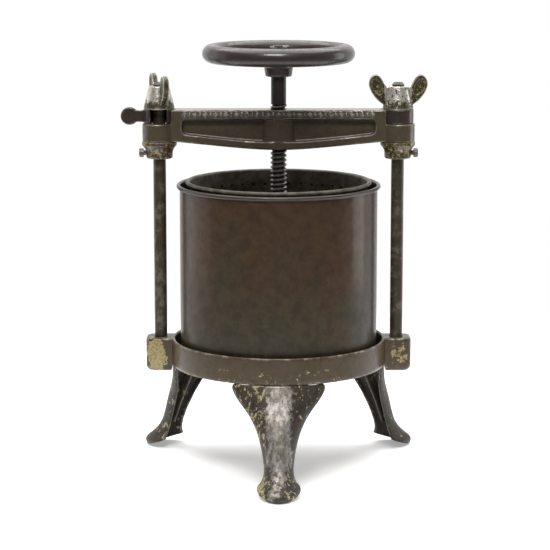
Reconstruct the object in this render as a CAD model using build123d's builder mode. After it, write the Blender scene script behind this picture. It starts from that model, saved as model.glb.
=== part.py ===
"""Tabletop screw press: tripod tray, two posts, crossbar, handwheel screw, strainer basket in a jacket.

Millimetres. The origin is on the ground under the axis of the screw, +Z up, +X towards the plain
post, -Y towards the front leg.
"""
from build123d import *
import os
from math import asin, cos, degrees, radians, sin, sqrt

os.makedirs("parts", exist_ok=True)

# ---- driving dimensions ----
RUNNING_GAP = 0.08          # radial clearance of turning and sliding fits
SEAT_GAP = 0.15             # radial clearance of fitted, unmoving pieces

TRAY_R = 106.0
TRAY_WALL = 3.3
TRAY_BOTTOM = 101.5
TRAY_FLOOR = 4.0
TRAY_TOP = 128.0
DRAIN_BORE_R = 9.0
DRAIN_LENGTH = 14.0
RIB_COUNT = 6
RIB_WIDTH = 5.0

POST_SPACING = 234.0
POST_R = 6.2
POST_TOP = 381.5
LUG_BOTTOM = 95.0
LUG_TOP = 128.5
LUG_DEPTH = 28.0
LUG_END_X = 131.5
POST_SOCKET_DEPTH = 22.0

BAR_TOP = 355.0
BAR_SHOULDER = 341.0        # top of the crossbar's end bosses, under the rings
BAR_END_BOTTOM = 323.5
BAR_BELLY = 315.7
BAR_HALF_DEPTH = 11.5
BOSS_R = 16.7
RING_R = 15.4
RING_RELIEF_R = 16.3

SCREW_CREST_R = 8.0
SCREW_ROOT_R = 6.3
SCREW_PITCH = 4.5
SHANK_R = 7.4
WHEEL_R = 65.8              # middle of the rim
WHEEL_TUBE_R = 8.8
WHEEL_Z = 409.5
HUB_BOTTOM = 387.0
HUB_TOP = 409.0

FOLLOWER_BOTTOM = 173.0
FOLLOWER_R = 85.8
BASKET_R = 88.0
BASKET_BOTTOM = 111.5
BASKET_TOP = 285.0
SHEET = 0.9
JACKET_R = 97.4
JACKET_BOTTOM = 107.0
JACKET_TOP = 281.5

LEG_AZIMUTHS = {"leg_front": 270, "leg_rear_right": 30, "leg_rear_left": 150}
LEG_SCREW_R = 86.0          # radius of the leg fixing screws on the tray floor
LEG_SCREW_OFFSET = 19.0     # sideways from the middle of the leg
LEG_SCREW_SHANK_R = 2.9

post_x = POST_SPACING / 2
tray_floor_top = TRAY_BOTTOM + TRAY_FLOOR


def circle_edges(piece, radius, height, tolerance=0.05):
    """The circular edges of a piece with this radius at this height."""
    rings = piece.edges().filter_by(GeomType.CIRCLE)
    return [
        e for e in rings
        if abs(e.radius - radius) < tolerance and abs(e.center().Z - height) < tolerance
    ]


def leg_screw_places(height):
    """The six fixing places, two over each leg, at one height."""
    spread = degrees(asin(LEG_SCREW_OFFSET / LEG_SCREW_R))
    angles = [a + side * spread for a in LEG_AZIMUTHS.values() for side in (-1, 1)]
    return [
        Location((LEG_SCREW_R * cos(radians(a)), LEG_SCREW_R * sin(radians(a)), height))
        for a in angles
    ]


# ---- base tray: shallow cast pan with a lug for each post and a drain spout ----
with BuildPart() as lug:
    lug_start_x = TRAY_R - 2.2
    lug_middle_x = (lug_start_x + LUG_END_X) / 2
    with BuildSketch(Plane.XY.offset(LUG_BOTTOM)):
        with Locations((lug_middle_x, 0)):
            RectangleRounded(LUG_END_X - lug_start_x, LUG_DEPTH, 7.0)
        with Locations((lug_start_x + 4, 0)):
            Rectangle(8, LUG_DEPTH)
    extrude(amount=LUG_TOP - LUG_BOTTOM)
    outer_bottom = lug.edges().group_by(Axis.Z)[0].filter_by(
        lambda e: e.center().X > lug_start_x + 1
    )
    fillet(outer_bottom, 6.0)
    outer_top = lug.edges().group_by(Axis.Z)[-1].filter_by(
        lambda e: e.center().X > lug_start_x + 1
    )
    fillet(outer_top, 1.4)
    # below the tray the lug stays clear of the leg tops
    with Locations((lug_start_x, 0, LUG_BOTTOM)):
        Box(4.0, LUG_DEPTH + 2, TRAY_BOTTOM - LUG_BOTTOM,
            align=(Align.CENTER, Align.CENTER, Align.MIN), mode=Mode.SUBTRACT)

with BuildPart() as base_tray:
    with BuildSketch(Plane.XZ) as tray_section:
        with BuildLine():
            Polyline(
                (DRAIN_BORE_R, TRAY_BOTTOM - DRAIN_LENGTH),
                (DRAIN_BORE_R + 2.6, TRAY_BOTTOM - DRAIN_LENGTH),
                (DRAIN_BORE_R + 6.0, TRAY_BOTTOM),
                (TRAY_R, TRAY_BOTTOM),
                (TRAY_R, TRAY_TOP),
                (TRAY_R - TRAY_WALL, TRAY_TOP),
                (TRAY_R - TRAY_WALL, tray_floor_top),
                (DRAIN_BORE_R, tray_floor_top),
                close=True,
            )
        make_face()
    revolve(axis=Axis.Z)
    fillet(circle_edges(base_tray, TRAY_R - TRAY_WALL, tray_floor_top), 3.0)
    fillet(circle_edges(base_tray, TRAY_R, TRAY_BOTTOM), 2.0)
    fillet(circle_edges(base_tray, TRAY_R, TRAY_TOP), 1.3)
    fillet(circle_edges(base_tray, TRAY_R - TRAY_WALL, TRAY_TOP), 1.3)
    # floor ribs carry the basket on their high step and the jacket on their low step
    with BuildSketch(Plane.XZ) as rib_profile:
        with BuildLine():
            Polyline(
                (24, TRAY_BOTTOM + 2),
                (28, BASKET_BOTTOM),
                (BASKET_R + 2.5, BASKET_BOTTOM),
                (BASKET_R + 5.0, JACKET_BOTTOM),
                (TRAY_R - 2, JACKET_BOTTOM),
                (TRAY_R - 2, TRAY_BOTTOM + 2),
                close=True,
            )
        make_face()
    with PolarLocations(0, RIB_COUNT):
        add(extrude(rib_profile.sketch, RIB_WIDTH / 2, both=True, mode=Mode.PRIVATE))
    add(lug.part)
    add(lug.part.mirror(Plane.YZ))
    with Locations((-post_x, 0, LUG_TOP), (post_x, 0, LUG_TOP)):
        Hole(POST_R + SEAT_GAP, depth=POST_SOCKET_DEPTH)
    with Locations(*leg_screw_places(tray_floor_top)):
        Hole(LEG_SCREW_SHANK_R + SEAT_GAP, depth=TRAY_FLOOR)
base_tray.part.label = "base_tray"
export_step(base_tray.part, "parts/base_tray.step")

# ---- legs: cast shells, convex in front and open behind, with a rib down the inside ----
# height, radius of the front, radius of the side edges, full width, wall
LEG_STATIONS = [
    (101.5, 105.3, 92.0, 85.0, 4.0),
    (97.2, 106.8, 92.8, 89.6, 4.0),
    (93.0, 108.6, 94.0, 86.8, 4.0),
    (84.4, 112.5, 97.4, 75.8, 4.0),
    (75.9, 117.0, 101.0, 62.4, 4.0),
    (67.3, 121.6, 104.8, 51.2, 4.0),
    (58.8, 125.6, 108.6, 43.0, 4.0),
    (50.2, 128.9, 112.3, 37.0, 4.0),
    (41.7, 131.6, 115.8, 32.9, 4.0),
    (33.1, 134.5, 119.0, 30.1, 4.0),
    (24.6, 138.6, 121.8, 28.6, 4.0),
    (16.0, 145.8, 124.2, 31.4, 4.8),
    (12.0, 150.6, 125.1, 36.4, 5.8),
    (8.0, 155.2, 125.8, 42.2, 7.4),
    (4.0, 157.0, 126.2, 41.6, 9.0),
    (0.0, 154.6, 126.5, 33.0, 9.5),
]
LEG_RIB = 3.6
LEG_PAD = 4.2
SOLE_HEEL_R = 150.0         # the flat sole ends here, and the heel rises inwards
HEEL_END_R = 118.0
HEEL_RISE = 11.3

with BuildPart() as leg:
    for height, front, edge, width, wall in LEG_STATIONS:
        with BuildSketch(Plane.XY.offset(height)):
            with BuildLine():
                outer = EllipticalCenterArc(
                    (edge, 0), front - edge, width / 2, start_angle=-90, arc_size=180
                )
                inner = EllipticalCenterArc(
                    (edge, 0), front - edge - wall, width / 2 - wall, start_angle=-90, arc_size=180
                )
                Line(outer @ 0, inner @ 0)
                Line(outer @ 1, inner @ 1)
            make_face()
    loft()
    # the rib joins the shell along the middle of its wall
    with BuildSketch(Plane.XZ):
        with BuildLine():
            back = Spline(
                [(front - wall / 2, height) for height, front, _, _, wall in LEG_STATIONS[1:11]]
            )
            inside = Spline(
                [(edge + 1.5, height) for height, _, edge, _, _ in LEG_STATIONS[1:11]]
            )
            Line(back @ 0, inside @ 0)
            Line(back @ 1, inside @ 1)
        make_face()
    extrude(amount=LEG_RIB / 2, both=True)
    # the pad lies against the underside of the tray
    with BuildSketch(Plane.XY.offset(TRAY_BOTTOM - LEG_PAD)):
        Circle(TRAY_R - 3.0)
        with Locations((LEG_SCREW_R + 6, 0)):
            Rectangle(36, 2 * LEG_SCREW_OFFSET + 18, mode=Mode.INTERSECT)
    extrude(amount=LEG_PAD)
    # only the toe stands on the ground; the heel edges are lifted
    with BuildSketch(Plane.XZ):
        with BuildLine():
            Polyline(
                (SOLE_HEEL_R, 0), (HEEL_END_R, HEEL_RISE), (HEEL_END_R - 8, -5), (SOLE_HEEL_R, -5),
                close=True,
            )
        make_face()
    extrude(amount=40, both=True, mode=Mode.SUBTRACT)
    for side in (-1, 1):
        with Locations(
            Location((sqrt(LEG_SCREW_R**2 - LEG_SCREW_OFFSET**2), side * LEG_SCREW_OFFSET, TRAY_BOTTOM))
        ):
            Hole(LEG_SCREW_SHANK_R + SEAT_GAP, depth=LEG_PAD)

for leg_name, azimuth in LEG_AZIMUTHS.items():
    with BuildPart() as placed_leg:
        add(leg.part, rotation=(0, 0, azimuth))
    placed_leg.part.label = leg_name
    export_step(placed_leg.part, f"parts/{leg_name}.step")

# ---- leg screws and nuts ----
SCREW_HEAD_R = 5.4
SCREW_HEAD_H = 3.2
LEG_NUT_R = 6.0
LEG_NUT_H = 4.6
leg_pad_bottom = TRAY_BOTTOM - LEG_PAD

with BuildPart() as leg_screw:
    Cylinder(LEG_SCREW_SHANK_R, tray_floor_top - leg_pad_bottom + LEG_NUT_H + 1.5,
             align=(Align.CENTER, Align.CENTER, Align.MAX))
    Cylinder(SCREW_HEAD_R, SCREW_HEAD_H, align=(Align.CENTER, Align.CENTER, Align.MIN))
    fillet(circle_edges(leg_screw, SCREW_HEAD_R, SCREW_HEAD_H), 2.2)
    with Locations((0, 0, SCREW_HEAD_H)):
        Box(2 * SCREW_HEAD_R + 1, 1.2, 2.6, mode=Mode.SUBTRACT)

with BuildPart() as leg_screws:
    with Locations(*leg_screw_places(tray_floor_top)):
        add(leg_screw.part)
leg_screws.part.label = "leg_screws"
export_step(leg_screws.part, "parts/leg_screws.step")

with BuildPart() as leg_nuts:
    with BuildSketch(*[Plane(place) for place in leg_screw_places(leg_pad_bottom)]):
        RegularPolygon(LEG_NUT_R, 6)
        Circle(LEG_SCREW_SHANK_R + SEAT_GAP, mode=Mode.SUBTRACT)
    extrude(amount=-LEG_NUT_H)
leg_nuts.part.label = "leg_nuts"
export_step(leg_nuts.part, "parts/leg_nuts.step")

# ---- posts: round bars, seated in the lugs, threaded at the top for the wing nuts ----
POST_TIP_CHAMFER = 2.4
POST_GROOVE = 0.5

for side, post_name in ((-1, "post_left"), (1, "post_right")):
    post_foot = LUG_TOP - POST_SOCKET_DEPTH
    with BuildPart() as post:
        with Locations((side * post_x, 0, post_foot)):
            Cylinder(POST_R, POST_TOP - post_foot, align=(Align.CENTER, Align.CENTER, Align.MIN))
        chamfer(post.edges().group_by(Axis.Z)[-1], POST_TIP_CHAMFER)
        with Locations((side * post_x, 0, POST_TOP - POST_TIP_CHAMFER - 0.9)):
            Torus(POST_R, POST_GROOVE, mode=Mode.SUBTRACT)
    post.part.label = post_name
    export_step(post.part, f"parts/{post_name}.step")

# ---- collars: flared rings that hold the crossbar up, each locked by a set screw ----
COLLAR_TOP = BAR_END_BOTTOM
COLLAR_BOTTOM = 306.5
COLLAR_FLANGE_R = 17.2
COLLAR_BODY_R = 13.1
SET_SCREW_Z = 312.0
SET_SCREW_R = 2.4
SET_HEAD_R = 4.4

for side, tag in ((-1, "left"), (1, "right")):
    with BuildPart() as collar:
        with BuildSketch(Plane.XZ.move(Location((side * post_x, 0, 0)))):
            with BuildLine():
                Polyline(
                    (POST_R + RUNNING_GAP, COLLAR_TOP),
                    (COLLAR_FLANGE_R, COLLAR_TOP),
                    (COLLAR_FLANGE_R, COLLAR_TOP - 3.6),
                )
                Spline(
                    (COLLAR_FLANGE_R, COLLAR_TOP - 3.6),
                    (COLLAR_BODY_R + 1.6, COLLAR_TOP - 6.6),
                    (COLLAR_BODY_R, COLLAR_TOP - 10.5),
                )
                Line((COLLAR_BODY_R, COLLAR_TOP - 10.5), (COLLAR_BODY_R, COLLAR_BOTTOM + 2.2))
                ThreePointArc(
                    (COLLAR_BODY_R, COLLAR_BOTTOM + 2.2),
                    (COLLAR_BODY_R - 0.65, COLLAR_BOTTOM + 0.65),
                    (COLLAR_BODY_R - 2.2, COLLAR_BOTTOM),
                )
                Polyline(
                    (COLLAR_BODY_R - 2.2, COLLAR_BOTTOM),
                    (POST_R + RUNNING_GAP, COLLAR_BOTTOM),
                    (POST_R + RUNNING_GAP, COLLAR_TOP),
                )
            make_face()
        revolve(axis=Axis((side * post_x, 0, 0), (0, 0, 1)))
        fillet(circle_edges(collar, COLLAR_FLANGE_R, COLLAR_TOP), 0.8)
        with BuildSketch(Plane.YZ.offset(side * post_x)):
            with Locations((0, SET_SCREW_Z)):
                Circle(SET_SCREW_R + 0.1)
        extrude(amount=side * 20, mode=Mode.SUBTRACT)
    collar.part.label = f"collar_{tag}"
    export_step(collar.part, f"parts/collar_{tag}.step")

    with BuildPart() as set_screw:
        screw_tip = POST_R + 0.1
        head_start = COLLAR_BODY_R + 2.6
        head_end = head_start + 4.2
        with BuildSketch(Plane.YZ.offset(side * (post_x + screw_tip))):
            with Locations((0, SET_SCREW_Z)):
                Circle(SET_SCREW_R)
        extrude(amount=side * (head_start - screw_tip + 1))
        with BuildSketch(Plane.YZ.offset(side * (post_x + head_start))):
            with Locations((0, SET_SCREW_Z)):
                Circle(SET_HEAD_R)
        extrude(amount=side * (head_end - head_start))
        outer_rim = set_screw.edges().filter_by(GeomType.CIRCLE).sort_by(Axis.X)
        fillet(outer_rim[-1 if side > 0 else 0], 1.4)
        with Locations((side * (post_x + head_end), 0, SET_SCREW_Z)):
            Box(3.4, 1.3, 2 * SET_HEAD_R + 1, rotation=(25, 0, 0), mode=Mode.SUBTRACT)
    set_screw.part.label = f"collar_screw_{tag}"
    export_step(set_screw.part, f"parts/collar_screw_{tag}.step")

# ---- crossbar: cast beam with a sunk panel in each face and a belly under the screw ----
PANEL_TOP = 346.2
PANEL_END_X = 94.5
PANEL_RIM = 7.6
PANEL_DEPTH = 7.0
PANEL_CORNER_R = 5.6
ORNAMENT_COUNT = 19
ORNAMENT_PITCH = 10.2

with BuildPart() as crossbar:
    with BuildSketch(Plane.XZ) as bar_elevation:
        with BuildLine():
            Polyline(
                (-108, BAR_END_BOTTOM), (-108, BAR_TOP), (108, BAR_TOP), (108, BAR_END_BOTTOM),
                (100, BAR_END_BOTTOM),
            )
            Spline(
                (100, BAR_END_BOTTOM), (60, BAR_BELLY + 4.0), (0, BAR_BELLY),
                (-60, BAR_BELLY + 4.0), (-100, BAR_END_BOTTOM),
            )
            Line((-100, BAR_END_BOTTOM), (-108, BAR_END_BOTTOM))
        make_face()
    extrude(amount=BAR_HALF_DEPTH, both=True)
    long_edges = crossbar.edges().filter_by(
        lambda e: abs(abs(e.center().Y) - BAR_HALF_DEPTH) < 0.01 and e.length > 100
    )
    fillet(long_edges, 1.4)
    # sunk panels, one in each face
    for face_side in (-1, 1):
        with BuildSketch(Plane.XZ.offset(face_side * BAR_HALF_DEPTH)) as panel:
            with BuildLine():
                Polyline(
                    (-PANEL_END_X, BAR_END_BOTTOM + PANEL_RIM), (-PANEL_END_X, PANEL_TOP),
                    (PANEL_END_X, PANEL_TOP), (PANEL_END_X, BAR_END_BOTTOM + PANEL_RIM),
                )
                Spline(
                    (PANEL_END_X, BAR_END_BOTTOM + PANEL_RIM),
                    (56, BAR_BELLY + PANEL_RIM + 3.6), (0, BAR_BELLY + PANEL_RIM),
                    (-56, BAR_BELLY + PANEL_RIM + 3.6),
                    (-PANEL_END_X, BAR_END_BOTTOM + PANEL_RIM),
                )
            make_face()
            fillet(panel.vertices(), PANEL_CORNER_R)
        extrude(amount=-face_side * PANEL_DEPTH, mode=Mode.SUBTRACT)
    # the screw passes through an oval thickening between the panels
    with BuildSketch(Plane.XY.offset(BAR_BELLY + 3)):
        Ellipse(17.0, BAR_HALF_DEPTH - 0.2)
    extrude(amount=BAR_TOP - BAR_BELLY - 6)
    for side in (-1, 1):
        with Locations((side * post_x, 0, BAR_SHOULDER)):
            Cylinder(RING_RELIEF_R, 30, align=(Align.CENTER, Align.CENTER, Align.MIN), mode=Mode.SUBTRACT)
        with Locations((side * post_x, 0, BAR_END_BOTTOM)):
            Cylinder(BOSS_R, BAR_SHOULDER - BAR_END_BOTTOM, align=(Align.CENTER, Align.CENTER, Align.MIN))
        with Locations((side * post_x, 0, BAR_SHOULDER)):
            Hole(POST_R + SEAT_GAP, depth=30)
    # the left boss is a fork, open behind, so that the bar can swing off its post
    with Locations((-post_x, BOSS_R / 2 + 0.5, (BAR_END_BOTTOM + BAR_SHOULDER) / 2)):
        Box(2 * (POST_R + SEAT_GAP), BOSS_R + 1, 30, mode=Mode.SUBTRACT)
    with Locations((0, 0, BAR_TOP)):
        Hole(SCREW_CREST_R + RUNNING_GAP, depth=60)
    # cast border of lozenges and beads along the upper front band
    band_z = (BAR_TOP + PANEL_TOP) / 2 + 0.2
    with BuildSketch(Plane.XZ.offset(BAR_HALF_DEPTH - 0.3)):
        for i in range(ORNAMENT_COUNT):
            ornament_x = (i - (ORNAMENT_COUNT - 1) / 2) * ORNAMENT_PITCH
            with Locations((ornament_x, band_z)):
                Polygon((-3.1, 0), (0, 2.5), (3.1, 0), (0, -2.5))
            if i:
                with Locations((ornament_x - ORNAMENT_PITCH / 2, band_z)):
                    Circle(1.15)
    extrude(amount=1.1)
crossbar.part.label = "crossbar"
export_step(crossbar.part, "parts/crossbar.step")

# ---- rings on the crossbar's shoulders: a plain one and an open one with a thumb tab ----
ring_bottom = BAR_SHOULDER + 0.1
ring_height = BAR_TOP + 0.4 - ring_bottom
TAB_DISC_R = 8.8
TAB_DISC_X = -146.0
TAB_THICK = 5.0

with BuildPart() as pivot_ring:
    with BuildSketch(Plane.XY.offset(ring_bottom)):
        with Locations((post_x, 0)):
            Circle(RING_R)
            Circle(POST_R + SEAT_GAP, mode=Mode.SUBTRACT)
    extrude(amount=ring_height)
    fillet(circle_edges(pivot_ring, RING_R, ring_bottom), 1.0)
    fillet(circle_edges(pivot_ring, RING_R, ring_bottom + ring_height), 0.9)
pivot_ring.part.label = "pivot_ring"
export_step(pivot_ring.part, "parts/pivot_ring.step")

with BuildPart() as latch_ring:
    with BuildSketch(Plane.XY.offset(ring_bottom)):
        with Locations((-post_x, 0)):
            Circle(RING_R)
    extrude(amount=ring_height)
    fillet(latch_ring.edges().filter_by(GeomType.CIRCLE), 1.0)
    # thumb tab: a short neck and a round, standing disc
    with BuildSketch(Plane.XZ) as tab:
        with Locations((TAB_DISC_X, ring_bottom + ring_height / 2)):
            Circle(TAB_DISC_R)
        with Locations(((TAB_DISC_X - post_x - 10) / 2, ring_bottom + ring_height / 2)):
            Rectangle(post_x + 10 + TAB_DISC_X, 11.4)
    extrude(amount=TAB_THICK / 2, both=True)
    tab_rims = latch_ring.edges().filter_by(GeomType.CIRCLE).filter_by(
        lambda e: abs(e.radius - TAB_DISC_R) < 0.01
    )
    fillet(tab_rims, 1.6)
    with BuildSketch(Plane.XY.offset(ring_bottom)):
        with Locations((-post_x, 0)):
            Circle(POST_R + RUNNING_GAP)
            Polygon((-6.7, 0), (6.7, 0), (8.6, -18), (-8.6, -18), align=None)
    extrude(amount=ring_height, mode=Mode.SUBTRACT)
latch_ring.part.label = "latch_ring"
export_step(latch_ring.part, "parts/latch_ring.step")

# ---- wing nuts: tapered bodies with two ears ----
NUT_BOTTOM = BAR_TOP + 0.5
NUT_TOP = 377.6
NUT_BASE_R = 15.0
NUT_TOP_R = 10.2
WING_THICK = 5.6
WING_RECESS = 0.7
NUT_YAW = {"wing_nut_left": -72.4, "wing_nut_right": 0.0}

with BuildPart() as wing_nut:
    with BuildSketch(Plane.XZ):
        with BuildLine():
            Polyline(
                (0, NUT_BOTTOM), (NUT_BASE_R, NUT_BOTTOM), (NUT_BASE_R, NUT_BOTTOM + 1.6),
                (NUT_TOP_R, NUT_TOP), (0, NUT_TOP), close=True,
            )
        make_face()
    revolve(axis=Axis.Z)
    for side in (-1, 1):
        with BuildSketch(Plane.XZ) as wing_sketch:
            with BuildLine():
                Spline(
                    (side * 9.0, NUT_TOP - 1.6),
                    (side * 13.0, NUT_TOP + 1.4),
                    (side * 17.0, NUT_TOP + 8.2),
                    (side * 21.8, NUT_TOP + 11.2),
                    (side * 26.8, NUT_TOP + 8.4),
                    (side * 28.7, NUT_TOP + 2.0),
                    (side * 26.2, NUT_TOP - 5.8),
                    (side * 19.6, NUT_TOP - 14.2),
                    (side * 12.0, NUT_BOTTOM + 2.8),
                )
                Line((side * 12.0, NUT_BOTTOM + 2.8), (side * 9.0, NUT_TOP - 1.6))
            make_face()
        extrude(amount=WING_THICK / 2, both=True)
        for face_side in (-1, 1):
            with BuildSketch(Plane.XZ.offset(face_side * WING_THICK / 2)):
                with Locations((side * 20.6, NUT_TOP - 0.6)):
                    Ellipse(4.1, 8.2, rotation=-side * 26)
            extrude(amount=-face_side * WING_RECESS, mode=Mode.SUBTRACT)
    with Locations((0, 0, NUT_TOP)):
        Hole(POST_R + RUNNING_GAP, depth=NUT_TOP - NUT_BOTTOM)

for side, nut_name in ((-1, "wing_nut_left"), (1, "wing_nut_right")):
    with BuildPart() as placed_nut:
        with Locations((side * post_x, 0, 0)):
            add(wing_nut.part, rotation=(0, 0, NUT_YAW[nut_name]))
    placed_nut.part.label = nut_name
    export_step(placed_nut.part, f"parts/{nut_name}.step")

# ---- press screw: coarse thread, plain upper shank, square for the wheel, button at the foot ----
SWIVEL_FLOOR = FOLLOWER_BOTTOM + 10.0
BUTTON_R = 9.2
BUTTON_H = 6.5
NECK_R = 5.6
SQUARE = 9.6
THREAD_BOTTOM = SWIVEL_FLOOR + 16.0
THREAD_TOP = 360.0
WHEEL_NUT_H = 6.8

with BuildPart() as press_screw:
    with Locations((0, 0, SWIVEL_FLOOR + 0.1)):
        Cylinder(BUTTON_R, BUTTON_H, align=(Align.CENTER, Align.CENTER, Align.MIN))
    with Locations((0, 0, SWIVEL_FLOOR + 1)):
        Cylinder(NECK_R, THREAD_BOTTOM - SWIVEL_FLOOR, align=(Align.CENTER, Align.CENTER, Align.MIN))
    with Locations((0, 0, THREAD_BOTTOM - 3)):
        Cylinder(SCREW_ROOT_R, THREAD_TOP - THREAD_BOTTOM + 6,
                 align=(Align.CENTER, Align.CENTER, Align.MIN))
    with Locations((0, 0, THREAD_TOP)):
        Cylinder(SHANK_R, HUB_BOTTOM + 2 - THREAD_TOP, align=(Align.CENTER, Align.CENTER, Align.MIN))
    with Locations((0, 0, HUB_BOTTOM + 1)):
        Box(SQUARE, SQUARE, HUB_TOP - HUB_BOTTOM - 1.5, align=(Align.CENTER, Align.CENTER, Align.MIN))
    with Locations((0, 0, HUB_TOP - 1)):
        Cylinder(SQUARE / 2 - 0.2, WHEEL_NUT_H + 2.6, align=(Align.CENTER, Align.CENTER, Align.MIN))
    chamfer(press_screw.edges().group_by(Axis.Z)[-1], 0.9)
    thread_turns_height = THREAD_TOP - THREAD_BOTTOM - SCREW_PITCH / 2
    with BuildLine() as thread_path:
        Helix(SCREW_PITCH, thread_turns_height, SCREW_ROOT_R - 0.2,
              center=(0, 0, THREAD_BOTTOM + SCREW_PITCH / 2))
    thread_depth = SCREW_CREST_R - SCREW_ROOT_R + 0.2
    with BuildSketch(Plane(origin=thread_path.line @ 0, x_dir=(1, 0, 0), z_dir=(0, -1, 0))):
        Polygon(
            (0, -SCREW_PITCH * 0.42), (thread_depth, -SCREW_PITCH * 0.12),
            (thread_depth, SCREW_PITCH * 0.12), (0, SCREW_PITCH * 0.42), align=None,
        )
    sweep(path=thread_path.line, is_frenet=True)
press_screw.part.label = "press_screw"
export_step(press_screw.part, "parts/press_screw.step")

# ---- handwheel: round rim, five tapered spokes, hub with a square hole ----
SPOKE_COUNT = 5
# reach, drop below the rim's middle, width, thickness
SPOKE_STATIONS = ((9.0, 9.0, 17.0, 11.0), (34.0, 4.5, 10.5, 8.0), (61.5, 0.8, 13.0, 8.4))
HUB_FOOT_R = 12.3
HUB_R = 15.0
HUB_SWELL = 14.0            # height above its foot where the hub is nearly full width

with BuildPart() as spoke:
    for reach, drop, wide, thick in SPOKE_STATIONS:
        with BuildSketch(Plane(origin=(reach, 0, WHEEL_Z - drop), x_dir=(0, 1, 0), z_dir=(1, 0, 0))):
            Ellipse(wide / 2, thick / 2)
    loft()

with BuildPart() as handwheel:
    with BuildSketch(Plane.XZ):
        with Locations((WHEEL_R, WHEEL_Z)):
            Circle(WHEEL_TUBE_R)
    revolve(axis=Axis.Z)
    with BuildSketch(Plane.XZ):
        with BuildLine():
            Polyline(
                (0, HUB_BOTTOM), (HUB_FOOT_R, HUB_BOTTOM), (HUB_FOOT_R + 0.8, HUB_BOTTOM + 1.0),
                (HUB_R - 0.2, HUB_BOTTOM + HUB_SWELL), (HUB_R, HUB_TOP - 1.4), (HUB_R - 1.4, HUB_TOP),
                (0, HUB_TOP), close=True,
            )
        make_face()
    revolve(axis=Axis.Z)
    with PolarLocations(0, SPOKE_COUNT, start_angle=90):
        add(spoke.part)
    with Locations((0, 0, HUB_BOTTOM)):
        Cylinder(SHANK_R + 0.1, 4.2, mode=Mode.SUBTRACT)
        Box(SQUARE + 0.2, SQUARE + 0.2, 80, mode=Mode.SUBTRACT)
handwheel.part.label = "handwheel"
export_step(handwheel.part, "parts/handwheel.step")

with BuildPart() as wheel_nut:
    with BuildSketch(Plane.XY.offset(HUB_TOP)):
        RectangleRounded(16.5, 16.5, 0.8)
        Circle(SQUARE / 2 - 0.2 + 0.1, mode=Mode.SUBTRACT)
    extrude(amount=WHEEL_NUT_H)
wheel_nut.part.label = "wheel_nut"
export_step(wheel_nut.part, "parts/wheel_nut.step")

# ---- follower: ribbed disc that the screw pushes down, with a swivel for the screw's button ----
FOLLOWER_PLATE = 7.0
SWIVEL_R = 22.0
SWIVEL_PLATE = 4.0
swivel_top = SWIVEL_FLOOR + BUTTON_H + 0.4
SWIVEL_SCREW_R = 15.6

with BuildPart() as follower_plate:
    with Locations((0, 0, FOLLOWER_BOTTOM)):
        Cylinder(FOLLOWER_R, FOLLOWER_PLATE, align=(Align.CENTER, Align.CENTER, Align.MIN))
        Cylinder(SWIVEL_R, swivel_top - FOLLOWER_BOTTOM, align=(Align.CENTER, Align.CENTER, Align.MIN))
    with BuildSketch(Plane.XZ) as follower_rib:
        with BuildLine():
            Polyline(
                (SWIVEL_R - 3, FOLLOWER_BOTTOM + 3), (SWIVEL_R - 3, swivel_top - 2),
                (SWIVEL_R + 4, swivel_top - 3), (FOLLOWER_R - 5, FOLLOWER_BOTTOM + FOLLOWER_PLATE + 1.5),
                (FOLLOWER_R - 5, FOLLOWER_BOTTOM + 3), close=True,
            )
        make_face()
    with PolarLocations(0, 6, start_angle=30):
        add(extrude(follower_rib.sketch, 2.6, both=True, mode=Mode.PRIVATE))
    fillet(circle_edges(follower_plate, FOLLOWER_R, FOLLOWER_BOTTOM), 1.5)
    fillet(circle_edges(follower_plate, FOLLOWER_R, FOLLOWER_BOTTOM + FOLLOWER_PLATE), 1.2)
    with Locations((0, 0, swivel_top)):
        Hole(BUTTON_R + 0.4, depth=swivel_top - SWIVEL_FLOOR)
        with PolarLocations(SWIVEL_SCREW_R, 4, start_angle=45):
            Hole(1.7, depth=7)
follower_plate.part.label = "follower_plate"
export_step(follower_plate.part, "parts/follower_plate.step")

with BuildPart() as swivel_plates:
    with BuildSketch(Plane.XY.offset(swivel_top)):
        Circle(SWIVEL_R - 0.6)
        Circle(NECK_R + 0.35, mode=Mode.SUBTRACT)
        Rectangle(60, 0.6, mode=Mode.SUBTRACT)
        with PolarLocations(SWIVEL_SCREW_R, 4, start_angle=45):
            Circle(2.0, mode=Mode.SUBTRACT)
    extrude(amount=SWIVEL_PLATE)
swivel_plates.part.label = "swivel_plates"
export_step(swivel_plates.part, "parts/swivel_plates.step")

with BuildPart() as swivel_screws:
    with PolarLocations(SWIVEL_SCREW_R, 4, start_angle=45):
        with Locations((0, 0, swivel_top + SWIVEL_PLATE)):
            Cylinder(1.6, SWIVEL_PLATE + 5.5, align=(Align.CENTER, Align.CENTER, Align.MAX))
            Cylinder(3.3, 2.0, align=(Align.CENTER, Align.CENTER, Align.MIN))
    fillet(circle_edges(swivel_screws, 3.3, swivel_top + SWIVEL_PLATE + 2.0), 1.2)
    with PolarLocations(SWIVEL_SCREW_R, 4, start_angle=45):
        with Locations((0, 0, swivel_top + SWIVEL_PLATE + 2.0)):
            Box(7.5, 0.9, 1.8, mode=Mode.SUBTRACT)
swivel_screws.part.label = "swivel_screws"
export_step(swivel_screws.part, "parts/swivel_screws.step")

# ---- strainer basket: rolled sheet with a wired edge, pierced all round, and a pierced bottom ----
HOLE_R = 1.4
HOLES_ROUND = 45
FIRST_HOLE_DEG = 3.0
ROW_PITCH = 11.3
TOP_ROW_DROP = 15.5
ROW_COUNT = 13
BASKET_CURL_R = 2.3
WIRE_R = 1.3

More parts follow.
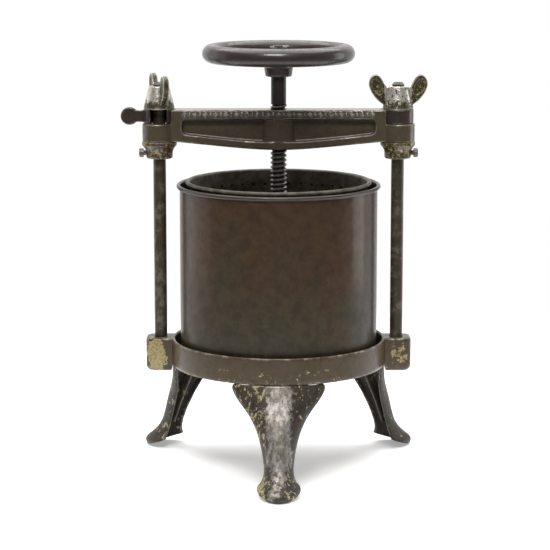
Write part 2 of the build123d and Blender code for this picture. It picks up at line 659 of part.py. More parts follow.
with BuildPart() as basket_wall:
    with BuildSketch(Plane.XY.offset(BASKET_BOTTOM)):
        Circle(BASKET_R)
        Circle(BASKET_R - SHEET, mode=Mode.SUBTRACT)
    extrude(amount=BASKET_TOP - BASKET_CURL_R - BASKET_BOTTOM)
    curl_centre = (BASKET_R - SHEET + BASKET_CURL_R, BASKET_TOP - BASKET_CURL_R)
    with BuildSketch(Plane.XZ):
        with Locations(curl_centre):
            Circle(BASKET_CURL_R)
            Circle(WIRE_R + 0.08, mode=Mode.SUBTRACT)
    revolve(axis=Axis.Z)
    for row in range(ROW_COUNT):
        row_plane_z = BASKET_TOP - TOP_ROW_DROP - row * ROW_PITCH
        with Locations((0, 0, row_plane_z)):
            with PolarLocations(BASKET_R, HOLES_ROUND, start_angle=FIRST_HOLE_DEG):
                Cylinder(HOLE_R, 6 * SHEET, rotation=(0, 90, 0), mode=Mode.SUBTRACT)
basket_wall.part.label = "basket_wall"
export_step(basket_wall.part, "parts/basket_wall.step")

with BuildPart() as basket_rim_wire:
    with Locations((0, 0, curl_centre[1])):
        Torus(curl_centre[0], WIRE_R)
basket_rim_wire.part.label = "basket_rim_wire"
export_step(basket_rim_wire.part, "parts/basket_rim_wire.step")

BOTTOM_FLANGE = 8.0
BOTTOM_RINGS = 8

with BuildPart() as basket_bottom:
    bottom_r = BASKET_R - SHEET - 0.05
    with BuildSketch(Plane.XY.offset(BASKET_BOTTOM + 0.1)):
        Circle(bottom_r)
    extrude(amount=BOTTOM_FLANGE)
    with BuildSketch(Plane.XY.offset(BASKET_BOTTOM + 0.1 + SHEET)):
        Circle(bottom_r - SHEET)
    extrude(amount=BOTTOM_FLANGE, mode=Mode.SUBTRACT)
    with BuildSketch(Plane.XY.offset(BASKET_BOTTOM - 1)):
        Circle(HOLE_R)
        for ring in range(1, BOTTOM_RINGS):
            with PolarLocations(ring * 10.5, 6 * ring):
                Circle(HOLE_R)
    extrude(amount=4, mode=Mode.SUBTRACT)
basket_bottom.part.label = "basket_bottom"
export_step(basket_bottom.part, "parts/basket_bottom.step")

# ---- jacket: plain rolled sheet with a lapped seam behind and a wired top edge ----
JACKET_CURL_R = 2.0
SEAM_WIDTH = 8.0
jacket_wire_r = 1.0

with BuildPart() as jacket:
    with BuildSketch(Plane.XY.offset(JACKET_BOTTOM)):
        Circle(JACKET_R)
        Circle(JACKET_R - SHEET, mode=Mode.SUBTRACT)
    extrude(amount=JACKET_TOP - JACKET_CURL_R - JACKET_BOTTOM)
    with BuildSketch(Plane.XY.offset(JACKET_BOTTOM)):
        Circle(JACKET_R + SHEET)
        Circle(JACKET_R - SHEET / 2, mode=Mode.SUBTRACT)
        with Locations((0, JACKET_R)):
            Rectangle(SEAM_WIDTH, 20, mode=Mode.INTERSECT)
    extrude(amount=JACKET_TOP - 2 * JACKET_CURL_R - JACKET_BOTTOM)
    jacket_curl_centre = (JACKET_R - SHEET + JACKET_CURL_R, JACKET_TOP - JACKET_CURL_R)
    with BuildSketch(Plane.XZ):
        with Locations(jacket_curl_centre):
            Circle(JACKET_CURL_R)
            Circle(jacket_wire_r + 0.08, mode=Mode.SUBTRACT)
    revolve(axis=Axis.Z)
jacket.part.label = "jacket"
export_step(jacket.part, "parts/jacket.step")

with BuildPart() as jacket_rim_wire:
    with Locations((0, 0, jacket_curl_centre[1])):
        Torus(jacket_curl_centre[0], jacket_wire_r)
jacket_rim_wire.part.label = "jacket_rim_wire"
export_step(jacket_rim_wire.part, "parts/jacket_rim_wire.step")
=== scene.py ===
from math import radians

import bpy
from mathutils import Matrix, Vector


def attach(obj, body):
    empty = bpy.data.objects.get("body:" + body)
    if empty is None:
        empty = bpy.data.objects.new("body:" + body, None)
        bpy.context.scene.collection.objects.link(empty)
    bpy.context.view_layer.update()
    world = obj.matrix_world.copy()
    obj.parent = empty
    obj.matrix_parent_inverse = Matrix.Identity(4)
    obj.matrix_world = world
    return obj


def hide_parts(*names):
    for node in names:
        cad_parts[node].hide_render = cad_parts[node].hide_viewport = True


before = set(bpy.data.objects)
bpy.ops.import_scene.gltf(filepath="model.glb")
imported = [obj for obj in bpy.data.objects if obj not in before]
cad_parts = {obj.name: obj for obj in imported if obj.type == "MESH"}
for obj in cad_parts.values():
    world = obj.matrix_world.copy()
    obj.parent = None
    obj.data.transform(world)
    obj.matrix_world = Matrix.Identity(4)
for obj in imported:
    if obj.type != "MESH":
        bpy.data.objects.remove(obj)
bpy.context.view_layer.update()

# ---------------------------------------------------------------- camera
# The press is seen square on through a long lens, from higher than the
# handwheel, with the view shifted down so that the feet are in it.
EYE_PLACE = (-0.0035, -2.03, 0.5528)
EYE_PITCH_DEG = 9.31
LENS_MM = 136.0
EYE_SHIFT = -0.0545
SENSOR_MM = 36.0
EYE_REACH = 60.0
bpy.ops.object.camera_add(location=EYE_PLACE, rotation=(radians(90 - EYE_PITCH_DEG), 0, 0))
eye = bpy.context.object
eye.name = "eye"
eye.data.lens = LENS_MM
eye.data.sensor_width = SENSOR_MM
eye.data.shift_y = EYE_SHIFT
eye.data.clip_end = EYE_REACH
bpy.context.scene.camera = eye
bpy.context.scene.view_settings.view_transform = "Standard"

# ---------------------------------------------------------------- studio
# A round white table top melts into white paper, which is bright behind the
# press and dim before it. One soft lamp stands over the front, a wide one
# hangs overhead, and a soft box on each side draws a streak down the metal.
PAPER_BACK = 1.0
PAPER_FRONT = 0.12
PAPER_DIM_FROM = 0.05
PAPER_FULL_AT = 0.93
paper = bpy.data.worlds.new("paper")
paper.use_nodes = True
bpy.context.scene.world = paper
nodes, links = paper.node_tree.nodes, paper.node_tree.links
way = nodes.new("ShaderNodeSeparateXYZ")
links.new(nodes.new("ShaderNodeTexCoord").outputs["Generated"], way.inputs[0])
spread = nodes.new("ShaderNodeMapRange")
spread.interpolation_type = "SMOOTHSTEP"
for label, value in (("From Min", PAPER_DIM_FROM), ("From Max", PAPER_FULL_AT),
                     ("To Min", PAPER_FRONT), ("To Max", PAPER_BACK)):
    spread.inputs[label].default_value = value
links.new(way.outputs["Y"], spread.inputs["Value"])
links.new(spread.outputs["Result"], nodes["Background"].inputs["Strength"])
nodes["Background"].inputs["Color"].default_value = (1.0, 1.0, 1.0, 1.0)

TABLE_R = 0.95
TABLE_DROP = 0.0002
TABLE_FADE_FROM = 0.34
TABLE_FADE_TO = 0.90
TABLE_GLOW = 0.3
TABLE_WHITE = 0.92
bpy.ops.object.select_all(action="DESELECT")
bpy.ops.mesh.primitive_circle_add(vertices=96, radius=TABLE_R, fill_type="NGON",
                                  location=(0, 0, -TABLE_DROP))
table_top = bpy.context.object
table_top.name = "table_top"
white = bpy.data.materials.new("table_white")
white.use_nodes = True
nodes, links = white.node_tree.nodes, white.node_tree.links
nodes.clear()
reach = nodes.new("ShaderNodeVectorMath")
reach.operation = "LENGTH"
links.new(nodes.new("ShaderNodeTexCoord").outputs["Object"], reach.inputs[0])
fade = nodes.new("ShaderNodeMapRange")
fade.interpolation_type = "SMOOTHSTEP"
for label, value in (("From Min", TABLE_FADE_FROM), ("From Max", TABLE_FADE_TO)):
    fade.inputs[label].default_value = value
links.new(reach.outputs["Value"], fade.inputs["Value"])
chalk = nodes.new("ShaderNodeBsdfPrincipled")
for label, value in (("Base Color", (TABLE_WHITE, TABLE_WHITE, TABLE_WHITE, 1.0)),
                     ("Roughness", 1.0), ("Specular IOR Level", 0.0),
                     ("Emission Color", (1.0, 1.0, 1.0, 1.0)),
                     ("Emission Strength", TABLE_GLOW)):
    chalk.inputs[label].default_value = value
clear = nodes.new("ShaderNodeBsdfTransparent")
melt = nodes.new("ShaderNodeMixShader")
links.new(fade.outputs["Result"], melt.inputs[0])
links.new(chalk.outputs[0], melt.inputs[1])
links.new(clear.outputs[0], melt.inputs[2])
links.new(melt.outputs[0], nodes.new("ShaderNodeOutputMaterial").inputs["Surface"])
table_top.data.materials.append(white)


def soft_box(name, place, aim, wide, tall, watts):
    """A soft lamp at place, turned to aim."""
    bpy.ops.object.light_add(type="AREA", location=place)
    lamp = bpy.context.object
    lamp.name = name
    lamp.data.shape = "RECTANGLE"
    lamp.data.size, lamp.data.size_y = wide, tall
    lamp.data.energy = watts
    lamp.visible_camera = False
    gaze = [a - b for a, b in zip(aim, place)]
    lamp.rotation_euler = Vector(gaze).to_track_quat("-Z", "Y").to_euler()


soft_box("front_lamp", (-0.15, -1.3, 1.7), (0, 0, 0.2), 0.8, 0.5, 26)
soft_box("top_lamp", (0.0, 0.5, 2.1), (0, 0, 0), 3.0, 2.4, 76)
SIDE_BOX_Z = 0.41
soft_box("left_box", (-1.0, 0.25, SIDE_BOX_Z), (0, 0, SIDE_BOX_Z), 0.75, 0.8, 1.3)
soft_box("right_box", (1.0, 0.22, SIDE_BOX_Z), (0, 0, SIDE_BOX_Z), 0.36, 0.8, 2.2)


# ------------------------------------------------------------- base tray
# One iron casting: the shallow drip tray with a lug at each side for the
# posts. It was japanned brown, with gilt lining that has mostly rubbed off.
class Tone:
    """A value that varies over a finish. Sums written on it add Math nodes."""

    def __init__(self, finish, socket):
        self.finish, self.socket = finish, socket

    def sum(self, operation, first, second=0.0):
        return self.finish.node("Math", {"operation": operation}, {0: first, 1: second})

    def __add__(self, other):
        return self.sum("ADD", self, other)

    def __radd__(self, other):
        return self.sum("ADD", other, self)

    def __sub__(self, other):
        return self.sum("SUBTRACT", self, other)

    def __rsub__(self, other):
        return self.sum("SUBTRACT", other, self)

    def __mul__(self, other):
        return self.sum("MULTIPLY", self, other)

    def __rmul__(self, other):
        return self.sum("MULTIPLY", other, self)

    def __abs__(self):
        return self.sum("ABSOLUTE", self)


class Finish:
    """A finish on metal: one Principled shader and what varies over it."""

    def __init__(self, name, **fixed):
        self.material = bpy.data.materials.new(name)
        self.material.use_nodes = True
        self.tree = self.material.node_tree
        self.shader = self.tree.nodes["Principled BSDF"]
        for label, value in fixed.items():
            self.shader.inputs[label.replace("_", " ")].default_value = value
        self.place = self.node("TexCoord", out="Object")

    def node(self, kind, settings=(), sockets=(), out=0):
        made = self.tree.nodes.new("ShaderNode" + kind)
        for label, value in dict(settings).items():
            setattr(made, label, value)
        for label, value in dict(sockets).items():
            if isinstance(value, Tone):
                self.tree.links.new(value.socket, made.inputs[label])
            else:
                made.inputs[label].default_value = value
        return Tone(self, made.outputs[out])

    def along(self, axis):
        """How far along X, Y or Z a point lies, in metres."""
        return self.node("SeparateXYZ", sockets={0: self.place}, out=axis)

    def apart(self, first, second):
        """The distance that two offsets at right angles add up to."""
        pair = self.node("CombineXYZ", {}, {0: first, 1: second})
        return self.node("VectorMath", {"operation": "LENGTH"}, {0: pair}, out="Value")

    def cloud(self, size_mm, detail=4.0, rough=0.55, stretch=(1, 1, 1), shift=0.0):
        """Soft random patches about size_mm across, from 0 to 1."""
        spot = self.node("Mapping", {}, {"Vector": self.place, "Scale": stretch,
                                         "Location": (shift, shift, shift)})
        return self.node("TexNoise", {}, {"Vector": spot, "Scale": 1000.0 / size_mm,
                                          "Detail": detail, "Roughness": rough})

    def step(self, value, low, high):
        """0 below low, 1 above high, and a smooth rise between them."""
        return self.node("MapRange", {"interpolation_type": "SMOOTHSTEP"},
                         {"Value": value, "From Min": low, "From Max": high})

    def lay(self, amount, under, over):
        """Colour over laid on colour under, by amount."""
        return self.node("Mix", {"data_type": "RGBA"},
                         {0: amount, 6: under, 7: over}, out=2)

    def edges(self, low, high):
        """1 on the outside edges that hands and cloths rub, 0 on flats and in hollows."""
        return self.step(self.node("NewGeometry", out="Pointiness"), low, high)

    def feed(self, **parts):
        for label, value in parts.items():
            self.tree.links.new(value.socket, self.shader.inputs[label.replace("_", " ")])

    def relief(self, height, depth_mm):
        """Raises the surface by height, a 0 to 1 value, times depth_mm."""
        return self.node("Bump", {}, {"Height": height, "Strength": 1.0,
                                      "Distance": depth_mm / 1000.0})


def tint(red, green, blue):
    """A paint chip's 0 to 255 colour as the light it sends back."""
    return tuple((c / 255.0 / 12.92 if c < 11 else ((c / 255.0 + 0.055) / 1.055) ** 2.4)
                 for c in (red, green, blue)) + (1.0,)


GILT = tint(136, 117, 70)
CREAM = tint(162, 150, 114)
RUBBED_IRON = tint(150, 142, 130)


def japan(name, dark, brown, olive, rub=0.5, gilt=None, soot=0.6, gloss=0.5):
    """Old japanning on cast iron: brown with olive clouds and sooty specks,
    rubbed to metal on the edges. gilt, if given, is where gilding is left."""
    skin = Finish(name, Specular_IOR_Level=0.3, Coat_Roughness=0.16)
    clouds = skin.cloud(34, 5, 0.6)
    grain = skin.cloud(5.5, 5, 0.62, shift=3.0)
    grit = skin.cloud(1.6, 3, 0.6, shift=7.0)
    colour = skin.lay(skin.step(clouds, 0.38, 0.62), brown, olive)
    colour = skin.lay(skin.step(grain, 0.46, 0.70) * soot, colour, dark)
    rubbed = (skin.edges(0.502, 0.535) * skin.step(grain, 0.38, 0.58)
              * skin.step(skin.cloud(16, 3, shift=4.0), 0.42, 0.60) * rub)
    colour = skin.lay(rubbed, colour, RUBBED_IRON)
    metal = rubbed * 0.9
    if gilt:
        left = gilt(skin)
        colour = skin.lay(left, colour, skin.lay(skin.step(grit, 0.4, 0.6), GILT, CREAM))
        metal = metal * (1.0 - left)
    skin.feed(Base_Color=colour, Metallic=metal,
              Coat_Weight=gloss - 0.9 * gloss * skin.step(grain, 0.5, 0.8),
              Roughness=0.34 + 0.22 * grain - 0.1 * rubbed,
              Normal=skin.relief(grain * 0.7 + grit * 0.3, 0.35))
    return skin


WELD_M = 2e-6
EASE = 0.5


def casting(name, node, body, finish, grain_mm=0.8, rounds=5):
    """The drawn part as it leaves a sand mould: edges rounded, corners filled."""
    piece = bpy.data.objects.new(name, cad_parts[node].data.copy())
    bpy.context.scene.collection.objects.link(piece)
    bpy.ops.object.select_all(action="DESELECT")
    piece.select_set(True)
    bpy.context.view_layer.objects.active = piece
    bpy.ops.mesh.customdata_custom_splitnormals_clear()
    bpy.ops.object.mode_set(mode="EDIT")
    bpy.ops.mesh.select_all(action="SELECT")
    bpy.ops.mesh.remove_doubles(threshold=WELD_M)
    bpy.ops.object.mode_set(mode="OBJECT")
    sand = piece.modifiers.new("sand", "REMESH")
    sand.mode = "VOXEL"
    sand.voxel_size = grain_mm / 1000.0
    bpy.ops.object.modifier_apply(modifier=sand.name)
    ease = piece.modifiers.new("ease", "SMOOTH")
    ease.factor = EASE
    ease.iterations = rounds
    bpy.ops.object.modifier_apply(modifier=ease.name)
    bpy.ops.object.shade_smooth()
    piece.data.materials.clear()
    piece.data.materials.append(finish.material)
    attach(piece, body)
    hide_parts(node)


LUG_INNER_X = 0.108
LUG_OUTER_X = 0.114
LUG_MIDDLE_X = 0.120
LUG_MIDDLE_Z = 0.112
TRAY_FRONT_Y = 0.085
GILT_LINE_Z = 0.117


def tray_gilding(skin):
    """Gilt left on the lugs' outer faces, most on the left one, and specks low
    on the front."""
    x, y, z = skin.along("X"), skin.along("Y"), skin.along("Z")
    chips = skin.cloud(6, 8, 0.72, shift=1.3)
    lugs = skin.step(abs(x), LUG_INNER_X, LUG_OUTER_X) * skin.step(0.004 - y, 0.0, 0.008)
    left_lug = lugs * skin.step(0.0 - x, 0.0, 0.01)
    from_middle = skin.apart((abs(x) - LUG_MIDDLE_X) * 90.0, (z - LUG_MIDDLE_Z) * 62.0)
    front = (skin.step(0.0 - y, TRAY_FRONT_Y, TRAY_FRONT_Y + 0.015)
             * skin.step(GILT_LINE_Z - z, 0.0, 0.006))
    lining = front * skin.step(skin.cloud(40, 2, 0.5, shift=0.6), 0.46, 0.6)
    kept = (left_lug * 0.12 + lugs * 0.095 - lugs * 0.16 * skin.step(from_middle, 0.45, 1.15)
            + lining * 0.03)
    return skin.step(chips + kept, 0.60, 0.625) * skin.step(lugs + front, 0.0, 0.3)


tray_finish = japan("tray_japan", tint(40, 32, 24), tint(70, 55, 36), tint(62, 52, 32),
                    rub=0.8, gilt=tray_gilding, soot=0.35, gloss=0.35)
casting("tray_casting", "base_tray", "frame", tray_finish, 1.1, 4)


def dress(finish, *nodes):
    """Gives drawn parts that keep their shape this finish."""
    for node in nodes:
        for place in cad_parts[node].material_slots:
            place.material = finish.material


# ------------------------------------------------------------------ legs
# Three cast iron legs, hollow behind and bolted under the tray. The front
# one is rubbed to bright iron, with more bright iron laid down its middle as a
# painted highlight, and all keep flakes of paint.
FOOT_TOP_Z = 0.034
# Centre of the band of bright iron painted down the front leg as a highlight.
LEG_HIGHLIGHT_X = -0.001
LEG_PAINT = tint(54, 45, 35)
LEG_SOOT = tint(36, 28, 20)
BARE_IRON = tint(168, 164, 158)
DULL_IRON = tint(112, 104, 96)
GREEN_FLAKE = tint(128, 118, 66)
CREAM_FLAKE = tint(178, 170, 136)
PIT_BLACK = tint(34, 26, 18)


def leg_skin(name, bright, flakes):
    """Cast iron with its paint worn through: bright gives how much metal shows,
    with more of it in a band down the centre as a painted highlight, and flakes
    how much pale paint clings elsewhere."""
    skin = Finish(name, Specular_IOR_Level=0.4)
    x, z = skin.along("X"), skin.along("Z")
    clouds = skin.cloud(22, 5, 0.6)
    chips = skin.cloud(3.6, 8, 0.75, (1, 1, 0.55), 2.1)
    grit = skin.cloud(1.6, 5, 0.7, shift=5.0)
    runs = skin.cloud(4.5, 6, 0.7, (1, 1, 0.4), 7.0)
    drift = skin.cloud(18, 3, 0.5, shift=12.0) * 0.3 - 0.15
    edge = skin.edges(0.501, 0.53)
    foot = skin.step(FOOT_TOP_Z - z, 0.0, 0.02)
    left = skin.step(0.0 - x, 0.007, 0.016)
    # A band down the front leg's centre gets more bright iron: a painted highlight, not wear.
    middle_highlight = 1.0 - skin.step(abs(x - LEG_HIGHLIGHT_X), 0.005, 0.019)
    colour = skin.lay(skin.step(clouds, 0.4, 0.6), LEG_PAINT, LEG_SOOT)
    bare_and_highlight = skin.step(clouds * 0.5 + chips * 0.7 + grit * 0.2 + middle_highlight * 0.26 - foot * 0.16
                     + bright, 0.72, 0.86)
    iron = skin.lay(skin.step(runs, 0.36, 0.62), BARE_IRON, DULL_IRON)
    colour = skin.lay(bare_and_highlight, colour, iron)
    pale = skin.step(chips + drift + flakes * (0.5 * edge + left + foot * 0.3), 0.61, 0.635)
    flake = skin.lay(skin.step(grit, 0.42, 0.58), GREEN_FLAKE, CREAM_FLAKE)
    colour = skin.lay(pale, colour, flake)
    pits = skin.step(skin.cloud(2.2, 5, 0.75, shift=9.0), 0.58, 0.66)
    colour = skin.lay(pits * 0.85, colour, PIT_BLACK)
    skin.feed(Base_Color=colour, Metallic=bare_and_highlight * (1.0 - pale) * (1.0 - 0.8 * pits) * 0.9,
              Roughness=0.40 + 0.22 * chips - 0.05 * bare_and_highlight,
              Normal=skin.relief(chips * 0.4 + grit * 0.3 - pits * 0.5, 0.4))
    return skin


# The front leg's finish carries the painted highlight band as well as real wear.
front_leg_wear_and_highlight = leg_skin("worn_leg_and_highlight", -0.05, 0.085)
rear_leg_finish = leg_skin("dark_leg", -0.20, 0.025)
casting("front_leg", "leg_front", "frame", front_leg_wear_and_highlight, 0.8, 5)
casting("rear_left_leg", "leg_rear_left", "frame", rear_leg_finish, 0.8, 5)
casting("rear_right_leg", "leg_rear_right", "frame", rear_leg_finish, 0.8, 5)


# ---------------------------------------------------- bolts and small fixings
# Round-headed screws, square and hexagon nuts and the swivel's two plates:
# plain mild steel, gone brown with small spots of rust.
RUST = tint(62, 44, 30)


def old_steel(name, dark, light, rough=0.38, metal=0.75):
    """Mild steel clouded from dark to light, with rust in spots."""
    skin = Finish(name, Specular_IOR_Level=0.5)
    clouds = skin.cloud(12, 5, 0.6)
    grit = skin.cloud(1.5, 4, 0.65, shift=4.0)
    rust = skin.step(skin.cloud(6, 5, 0.7, shift=8.0), 0.55, 0.66)
    colour = skin.lay(skin.step(clouds, 0.35, 0.65), dark, light)
    colour = skin.lay(rust * 0.6, colour, RUST)
    skin.feed(Base_Color=colour, Metallic=metal - metal * 0.8 * rust,
              Roughness=rough + 0.2 * clouds + 0.15 * rust,
              Normal=skin.relief(grit, 0.12))
    return skin


fixing_finish = old_steel("fixing_steel", tint(70, 64, 58), tint(118, 112, 106))
dress(fixing_finish, "leg_screws", "leg_nuts", "collar_screw_left", "collar_screw_right",
      "wheel_nut", "swivel_plates", "swivel_screws")

# ----------------------------------------------------------------- posts
# Two turned steel posts, threaded at both ends, painted brown and worn thin.
post_finish = japan("post_paint", tint(38, 30, 21), tint(54, 44, 31), tint(58, 49, 32), rub=0.3,
                    soot=0.4, gloss=0.3)
dress(post_finish, "post_left", "post_right")


# --------------------------------------------------------------- collars
# The cast collars under the crossbar's ends, each pinched on its post by a
# set screw. They keep more of their gilding than any other part.
def collar_gilding(skin):
    """Gilt left in ragged specks all over."""
    chips = skin.cloud(3.2, 8, 0.78, shift=2.7)
    return skin.step(chips + 0.16 * skin.cloud(12, 2, 0.5), 0.60, 0.64)


collar_finish = japan("collar_gilt", tint(34, 28, 19), tint(62, 52, 36), tint(68, 58, 34),
                      rub=0.8, gilt=collar_gilding)
casting("collar_casting_left", "collar_left", "collar_left", collar_finish, 0.55, 4)
casting("collar_casting_right", "collar_right", "collar_right", collar_finish, 0.55, 4)

# -------------------------------------------------------------- crossbar
# A fish-bellied cast iron beam with sunk panels and a raised flange, bossed
# in the middle for the screw and forked at the left end to swing clear.
bar_finish = japan("bar_japan", tint(44, 37, 30), tint(72, 60, 47), tint(74, 64, 46), rub=1.0,
                   soot=0.4, gloss=0.8)
casting("crossbar_casting", "crossbar", "frame", bar_finish, 0.7, 3)

# ---------------------------------------------------------- crossbar band
# The band along the crossbar's front: lozenges with a bead between each
# pair, cast in relief, dark at the foot and rubbed bright on top.
BAR_FACE_Y = -0.0115
BAND_Z = 0.3508
BAND_SUNK_Y = -0.0117
BAND_TOP_Y = -0.0124
LOZENGE_COUNT = 19
LOZENGE_PITCH = 0.0102
LOZENGE_HALF = (0.0039, 0.0031)
LOZENGE_THICK = 0.0015
LOZENGE_TOP = 0.62
BEAD_R = 0.0012
BEAD_FLAT = 0.75
band_finish = Finish("band_rubbed", Specular_IOR_Level=0.5)
band_grit = band_finish.cloud(1.6, 5, 0.7)
band_top = band_finish.step(0.0 - band_finish.along("Y"), -BAND_SUNK_Y, -BAND_TOP_Y)
band_bare = band_top * band_finish.step(band_grit, 0.62, 0.42)
band_finish.feed(
    Base_Color=band_finish.lay(band_bare, tint(30, 26, 22), tint(172, 166, 154)),
    Metallic=band_bare * 0.6, Roughness=0.34 + 0.3 * band_grit,
    Normal=band_finish.relief(band_grit, 0.3))

bpy.ops.object.select_all(action="DESELECT")
bpy.ops.mesh.primitive_cone_add(vertices=4, radius1=1.0, radius2=LOZENGE_TOP, depth=1.0,
                                location=(0, BAR_FACE_Y - 0.1 * LOZENGE_THICK, BAND_Z),
                                rotation=(radians(90), 0, 0))
lozenge = bpy.context.object
lozenge.scale = LOZENGE_HALF + (LOZENGE_THICK,)
bpy.ops.object.transform_apply(location=True, rotation=True, scale=True)
bpy.ops.object.select_all(action="DESELECT")
bpy.ops.mesh.primitive_uv_sphere_add(segments=16, ring_count=10, radius=BEAD_R,
                                     location=(0, BAR_FACE_Y, BAND_Z))
bead = bpy.context.object
bead.scale = (1.0, BEAD_FLAT, 1.0)
bpy.ops.object.transform_apply(location=True, rotation=True, scale=True)
bpy.ops.object.select_all(action="DESELECT")
for i in range(LOZENGE_COUNT):
    x = (i - (LOZENGE_COUNT - 1) / 2) * LOZENGE_PITCH
    for pattern, along_bar in ((lozenge, x), (bead, x - LOZENGE_PITCH / 2)):
        if pattern is lozenge or i:
            stamped = bpy.data.objects.new("crossbar_band", pattern.data.copy())
            bpy.context.scene.collection.objects.link(stamped)
            stamped.location = (along_bar, 0, 0)
            stamped.select_set(True)
            bpy.context.view_layer.objects.active = stamped
for pattern in (lozenge, bead):
    bpy.data.objects.remove(pattern)
bpy.ops.object.join()
band = bpy.context.object
band.name = "crossbar_band"
bpy.ops.object.transform_apply(location=True, rotation=True, scale=True)
soften = band.modifiers.new("soften", "BEVEL")
soften.width, soften.segments, soften.angle_limit = 0.00025, 2, radians(40)
bpy.ops.object.modifier_apply(modifier=soften.name)
bpy.ops.object.shade_smooth_by_angle(angle=radians(50))
band.data.materials.clear()
band.data.materials.append(band_finish.material)
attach(band, "frame")

# ---------------------------------------------------- latch and pivot rings
# Two cast rings round the posts: the right one is the hinge, and the left
# one, with its thumb tab, locks the open fork of the crossbar.
ring_finish = japan("ring_japan", tint(32, 25, 22), tint(54, 43, 37), tint(48, 39, 34), rub=0.6,
                    gloss=0.7)
casting("latch_casting", "latch_ring", "latch", ring_finish, 0.55, 4)
casting("pivot_casting", "pivot_ring", "frame", ring_finish, 0.55, 4)


# -------------------------------------------------------------- wing nuts
# Malleable iron wing nuts, worn bright by fingers, with old gilding and
# green paint left in the pits and on the ears.
POST_X = 0.117
EAR_FROM_R = 0.0125
EAR_FULL_R = 0.0150
NUT_BRIGHT = tint(222, 217, 206)
NUT_EDGE = tint(196, 188, 172)
NUT_DARK = tint(48, 41, 28)
NUT_OLIVE = tint(58, 52, 34)
NUT_GILT = tint(138, 126, 48)


def nut_skin(name):
    """Bright worn bodies; the ears keep dark olive paint, worn on their rims."""
    skin = Finish(name, Specular_IOR_Level=0.5)
    out = skin.apart(abs(skin.along("X")) - POST_X, skin.along("Y"))
    ear = skin.step(out, EAR_FROM_R, EAR_FULL_R)
    chips = skin.cloud(3.6, 8, 0.78, shift=3.3)
    grit = skin.cloud(1.2, 4, 0.7, shift=6.0)
    edge = skin.edges(0.502, 0.54)
    dark = skin.step(chips + 0.17 * ear - 0.05 * edge, 0.52, 0.60)
    colour = skin.lay(dark, NUT_BRIGHT, skin.lay(ear, NUT_DARK, NUT_OLIVE))
    gilt = skin.step(skin.cloud(2.6, 6, 0.75, shift=8.1) + 0.03 * ear, 0.60, 0.63)
    colour = skin.lay(gilt, colour, NUT_GILT)
    colour = skin.lay(edge * 0.7, colour, NUT_EDGE)
    painted = dark + gilt
    skin.feed(Base_Color=colour, Metallic=0.75 - 0.6 * painted.sum("MINIMUM", painted, 1.0),
              Roughness=0.16 + 0.25 * chips,
              Normal=skin.relief(chips * 0.6 + grit * 0.4, 0.3))
    return skin


nut_finish = nut_skin("nut_iron_worn")
for nut in ("wing_nut_left", "wing_nut_right"):
    casting(nut.replace("nut", "nut_casting"), nut, nut, nut_finish, 0.5, 4)

# ----------------------------------------------------------- press screw
# A coarse thread cut on a steel bar, black with old grease in the roots, with
# the crests lightened, partly as burnish and partly as a painted highlight, and a plain neck
# above.
THREAD_CREST_R = 0.0080
THREAD_TOP_Z = 0.359
screw_finish = Finish("screw_steel_greased", Specular_IOR_Level=0.5)
screw_out = screw_finish.apart(screw_finish.along("X"), screw_finish.along("Y"))
screw_grit = screw_finish.cloud(1.8, 4, 0.65)
# The thread crests are lightened in colour: partly burnish, partly a painted highlight.
crest_burnish_and_highlight = (screw_finish.step(screw_out, THREAD_CREST_R - 0.0009, THREAD_CREST_R - 0.0002)
         * screw_finish.step(THREAD_TOP_Z - screw_finish.along("Z"), 0.0, 0.001)
         * screw_finish.step(screw_grit, 0.30, 0.50))
greased = screw_finish.lay(screw_grit, tint(28, 24, 22), tint(52, 45, 42))
screw_finish.feed(
    Base_Color=screw_finish.lay(crest_burnish_and_highlight, greased, tint(150, 142, 138)),
    Metallic=0.3 + 0.6 * crest_burnish_and_highlight, Roughness=0.30 + 0.2 * screw_grit - 0.06 * crest_burnish_and_highlight,
    Normal=screw_finish.relief(screw_grit, 0.12))
dress(screw_finish, "press_screw")

# ------------------------------------------------------------- handwheel
# A five-spoked cast iron wheel with a thick round rim, japanned plum brown
# and polished by hands.
wheel_finish = japan("wheel_japan", tint(32, 24, 23), tint(50, 38, 36), tint(46, 37, 34), rub=0.25,
                     soot=0.4, gloss=0.6)
casting("handwheel_casting", "handwheel", "screw", wheel_finish, 0.75, 4)

# -------------------------------------------------------------- follower
# The cast iron pressing plate, ribbed above, with a hub that the screw's
# button turns in.
dress(japan("follower_japan", tint(34, 32, 28), tint(66, 62, 52), tint(60, 60, 48), rub=0.3),
      "follower_plate")


# ---------------------------------------------------------------- basket
# A drum of punched sheet steel with a wired rim and a punched bottom,
# stained grey-green and brown by what was pressed in it.
basket_finish = old_steel("basket_stained", tint(56, 54, 46), tint(96, 92, 78), 0.42, metal=0.2)
dress(basket_finish, "basket_wall", "basket_bottom")
rim_finish = old_steel("wired_rim", tint(52, 45, 40), tint(84, 76, 70), 0.34, metal=0.5)
dress(rim_finish, "basket_rim_wire", "jacket_rim_wire")


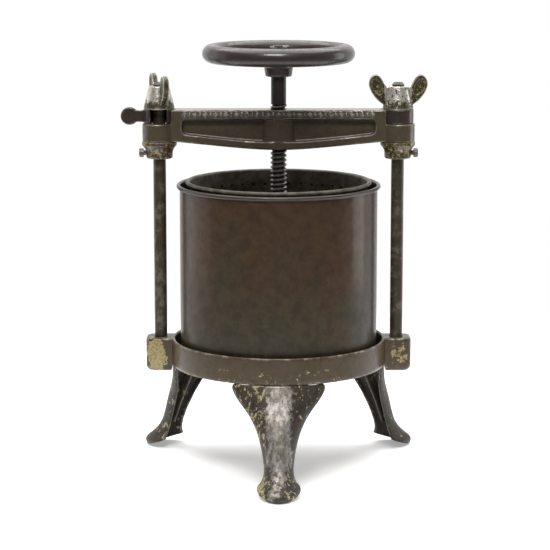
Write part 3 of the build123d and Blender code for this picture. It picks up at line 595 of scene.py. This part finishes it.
# ---------------------------------------------------------------- jacket
# The plain sheet steel drum round the basket, seamed at the back, browned
# by age: rusty near the top, olive below, and scratched.
RIM_BEAD_Z = 0.2775
DRUM_SKIN_R = 0.0970
DRUM_MIDDLE_Z = 0.18
JACKET_OLIVE = tint(56, 50, 36)
JACKET_RUST = tint(68, 48, 32)
JACKET_STAIN = tint(38, 30, 21)
JACKET_WORN = tint(80, 67, 48)
JACKET_SCRATCH = tint(112, 98, 74)
JACKET_BEAD = tint(62, 55, 50)
# Near black: painted shade for the drum's inner face, behind the basket.
JACKET_INSIDE_SHADE = tint(14, 12, 10)


def jacket_skin():
    """Browned sheet: grey on the rolled bead, and painted near black within the drum as shade
    between jacket and basket.
    """
    skin = Finish("jacket_browned", Specular_IOR_Level=0.3, Coat_Weight=0.3, Coat_Roughness=0.14)
    z = skin.along("Z")
    clouds = skin.cloud(60, 6, 0.62)
    mottle = skin.cloud(11, 6, 0.68, shift=2.0)
    grit = skin.cloud(2.4, 4, 0.65, shift=5.0)
    colour = skin.lay(skin.step(clouds + 2.2 * (z - DRUM_MIDDLE_Z), 0.36, 0.66),
                      JACKET_OLIVE, JACKET_RUST)
    colour = skin.lay(skin.step(mottle, 0.46, 0.70) * 0.6, colour, JACKET_STAIN)
    colour = skin.lay(skin.step(mottle, 0.54, 0.34) * 0.3, colour, JACKET_WORN)
    scratches = (skin.step(skin.cloud(2.2, 4, 0.6, (1, 1, 0.18), 11.0), 0.66, 0.72)
                 * skin.step(clouds, 0.5, 0.6))
    colour = skin.lay(scratches * 0.5, colour, JACKET_SCRATCH)
    bead_steel = skin.step(z, RIM_BEAD_Z - 0.0004, RIM_BEAD_Z + 0.0004)
    colour = skin.lay(bead_steel, colour, JACKET_BEAD)
    out = skin.apart(skin.along("X"), skin.along("Y"))
    # The drum's inner face is painted near black as shade.
    inside_shade = (1.0 - bead_steel) * skin.step(DRUM_SKIN_R - out, 0.0, 0.0002)
    colour = skin.lay(inside_shade, colour, JACKET_INSIDE_SHADE)
    skin.feed(Base_Color=colour, Metallic=0.15 + 0.2 * clouds,
              Roughness=0.32 + 0.24 * mottle,
              Normal=skin.relief(mottle * 0.7 + grit * 0.3, 0.10))
    return skin


jacket_finish = jacket_skin()
dress(jacket_finish, "jacket")
